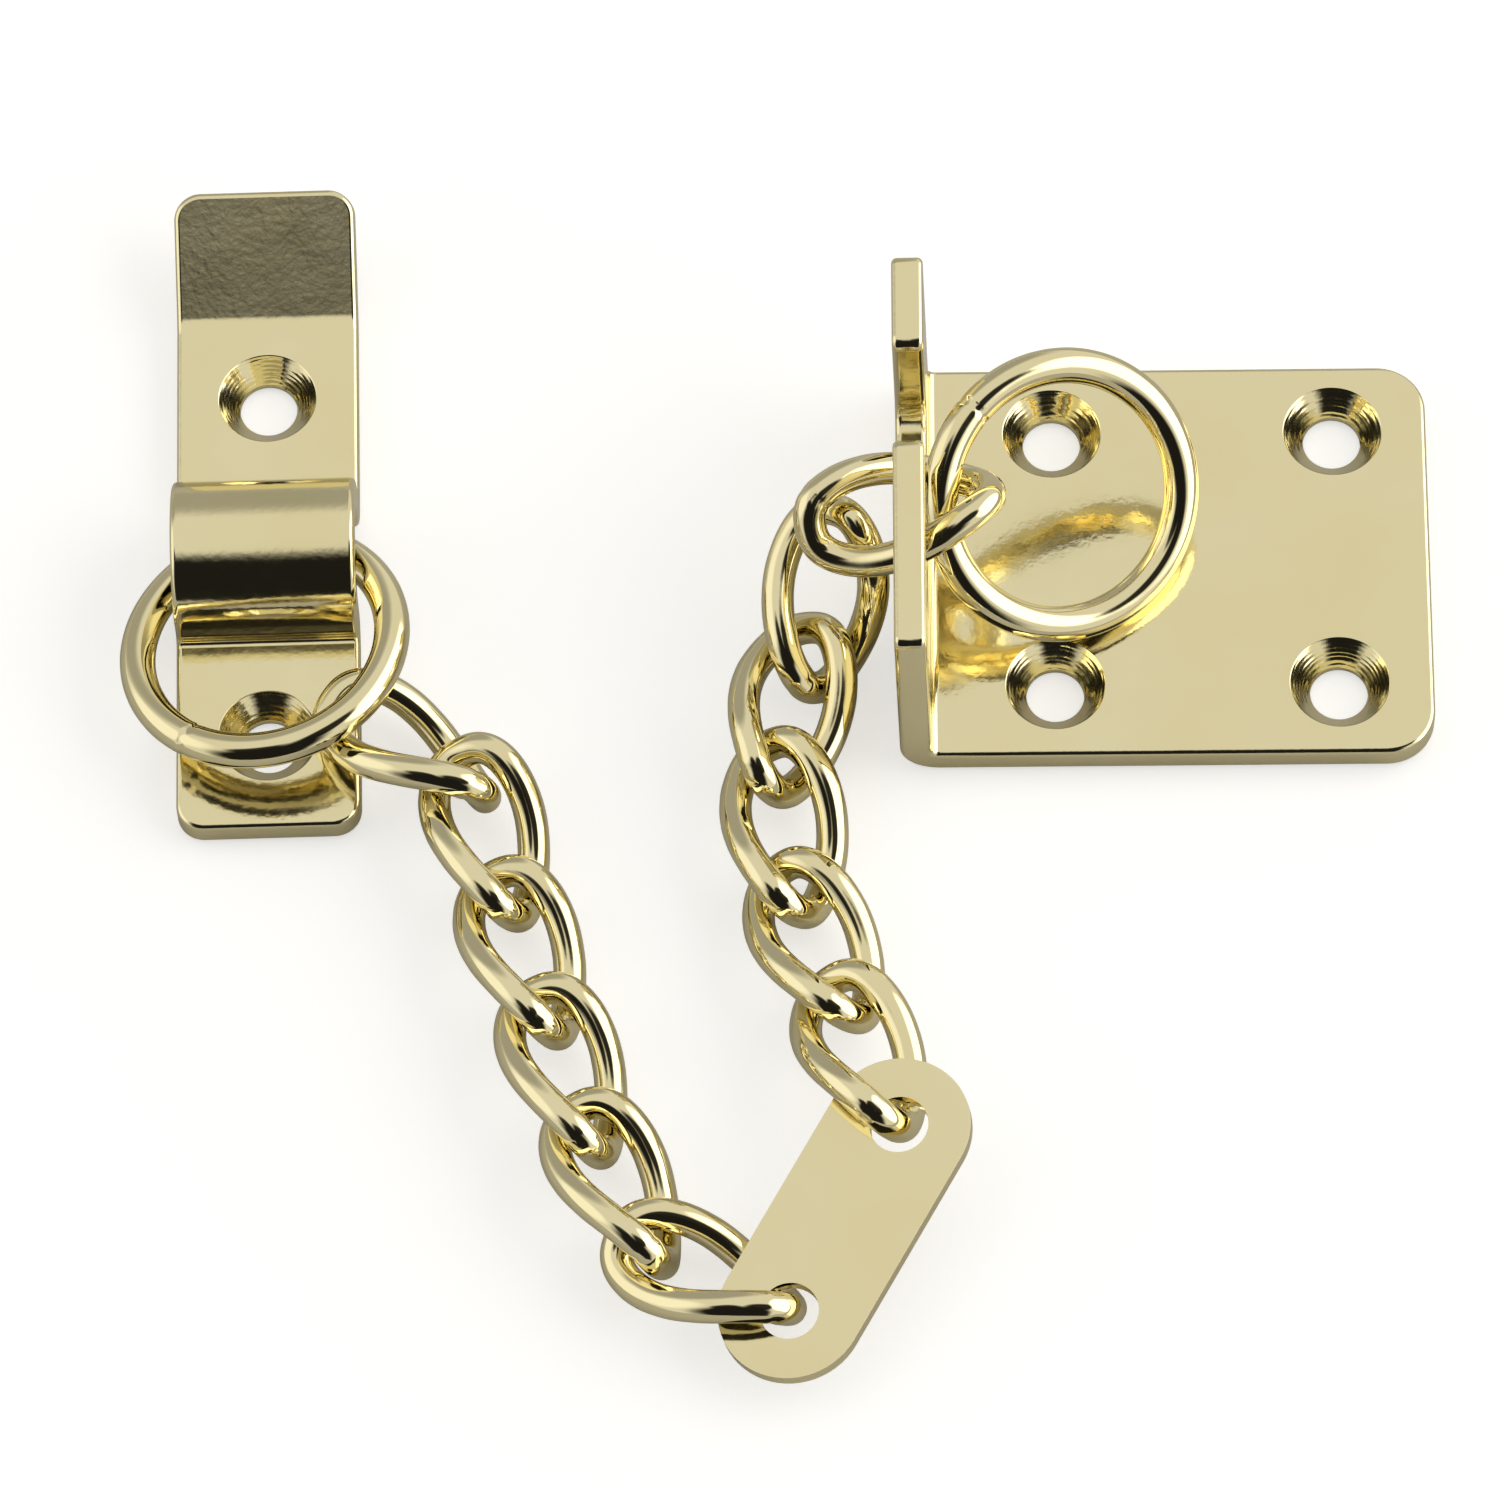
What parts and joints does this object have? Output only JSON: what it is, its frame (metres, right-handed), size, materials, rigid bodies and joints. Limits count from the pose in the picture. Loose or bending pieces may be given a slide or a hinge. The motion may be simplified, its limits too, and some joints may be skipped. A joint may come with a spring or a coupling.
{
  "type": "door chain guard",
  "caption": "Door chain guard: L-shaped bracket with a bayonet-slotted flange, end ring, twisted curb-link chain with a joining tag, and a humped strap that traps a wire ring.",
  "frame": {"origin": "centre of the back face of the slotted bracket's plate", "axes": "+Z out of the mounting surface, the way the flange stands; +X from the flange across the bracket's plate; +Y along the flange, towards the slot's mouth"},
  "size_m": [0.125, 0.1244, 0.026],
  "materials": {
    "plate_brass": "polished brass plate on stamped steel strip",
    "ring_brass": "polished brass plate on round wire",
    "link_brass": "polished brass plate on twisted wire",
    "tag_brass": "satin-polished brass plate on thin sheet"
  },
  "bodies": {
    "slot_bracket": {"slot_bracket": "plate_brass"},
    "end_ring": {"end_ring": "ring_brass"},
    "chain_link_b6": {"chain_link_b6": "link_brass"},
    "chain_link_b5": {"chain_link_b5": "link_brass"},
    "chain_link_b4": {"chain_link_b4": "link_brass"},
    "chain_link_b3": {"chain_link_b3": "link_brass"},
    "chain_link_b2": {"chain_link_b2": "link_brass"},
    "chain_link_b1": {"chain_link_b1": "link_brass"},
    "tag_plate": {"tag_plate": "tag_brass"},
    "chain_link_a6": {"chain_link_a6": "link_brass"},
    "chain_link_a5": {"chain_link_a5": "link_brass"},
    "chain_link_a4": {"chain_link_a4": "link_brass"},
    "chain_link_a3": {"chain_link_a3": "link_brass"},
    "chain_link_a2": {"chain_link_a2": "link_brass"},
    "chain_link_a1": {"chain_link_a1": "link_brass"},
    "strap_ring": {"strap_ring": "ring_brass"},
    "strap_bracket": {"strap_bracket": "plate_brass"}
  },
  "joints": [
    {"name": "slot_slide", "type": "slide", "parent": "slot_bracket", "child": "chain_link_b6", "axis": [0, 1, 0], "range_m": [-0.0043, 0.0055]},
    {"name": "link_b5_swing", "type": "hinge", "parent": "chain_link_b6", "child": "chain_link_b5", "pos_m": [-0.0316, 0.0004, 0.0131], "axis": [0.9836, 0.016, -0.1799], "range_deg": [-8, 100]},
    {"name": "link_b4_swing", "type": "hinge", "parent": "chain_link_b5", "child": "chain_link_b4", "pos_m": [-0.034, -0.008, 0.0049], "axis": [0.8555, -0.1819, 0.4847], "range_deg": [-38, 14]},
    {"name": "link_b3_swing", "type": "hinge", "parent": "chain_link_b4", "child": "chain_link_b3", "pos_m": [-0.0375, -0.0203, 0.0048], "axis": [0.8343, 0.088, 0.5442], "range_deg": [-64, 9]},
    {"name": "link_b2_swing", "type": "hinge", "parent": "chain_link_b3", "child": "chain_link_b2", "pos_m": [-0.0368, -0.033, 0.0038], "axis": [0.7571, 0.3631, 0.5431], "range_deg": [-48, 7]},
    {"name": "link_b1_swing", "type": "hinge", "parent": "chain_link_b2", "child": "chain_link_b1", "pos_m": [-0.032, -0.045, 0.0045], "axis": [0.8058, 0.3719, 0.4609], "range_deg": [-11, 5]},
    {"name": "tag_plate_swing", "type": "hinge", "parent": "chain_link_b1", "child": "tag_plate", "pos_m": [-0.0257, -0.0612, 0.0072], "axis": [0.135, 0.032, -0.9903], "range_deg": [-60, 23]},
    {"name": "link_a6_swing", "type": "hinge", "parent": "tag_plate", "child": "chain_link_a6", "pos_m": [-0.0361, -0.0784, 0.0049], "axis": [0, 0, 1], "range_deg": [-16, 35]},
    {"name": "link_a5_swing", "type": "hinge", "parent": "chain_link_a6", "child": "chain_link_a5", "pos_m": [-0.0481, -0.0735, 0.0048], "axis": [-0.2631, -0.128, 0.9562], "range_deg": [-2, 100]},
    {"name": "link_a4_swing", "type": "hinge", "parent": "chain_link_a5", "child": "chain_link_a4", "pos_m": [-0.0539, -0.0623, 0.0048], "axis": [0, 0, -1], "range_deg": [-18, 16]},
    {"name": "link_a3_swing", "type": "hinge", "parent": "chain_link_a4", "child": "chain_link_a3", "pos_m": [-0.0581, -0.05, 0.0046], "axis": [0, 0, -1], "range_deg": [-12, 9]},
    {"name": "link_a2_swing", "type": "hinge", "parent": "chain_link_a3", "child": "chain_link_a2", "pos_m": [-0.0619, -0.0377, 0.0042], "axis": [0, 0, 1], "range_deg": [-19, 17]},
    {"name": "link_a1_swing", "type": "hinge", "parent": "chain_link_a2", "child": "chain_link_a1", "pos_m": [-0.0647, -0.0254, 0.0048], "axis": [0, 0, 1], "range_deg": [-44, 12]},
    {"name": "strap_ring_swing", "type": "hinge", "parent": "chain_link_a1", "child": "strap_ring", "pos_m": [-0.0857, -0.01, 0.0063], "axis": [0.1561, -0.1621, -0.9744], "range_deg": [-27, 31]},
    {"name": "strap_bracket_swing", "type": "hinge", "parent": "strap_ring", "child": "strap_bracket", "pos_m": [-0.0858, -0.0003, 0.005], "axis": [0.9997, 0.023, 0], "range_deg": [0, 160]},
    {"name": "end_ring_swing", "type": "hinge", "parent": "chain_link_b6", "child": "end_ring", "pos_m": [-0.0167, 0, 0.0169], "axis": [0.3651, -0.5361, 0.7611], "range_deg": [-2, 18]}
  ]
}
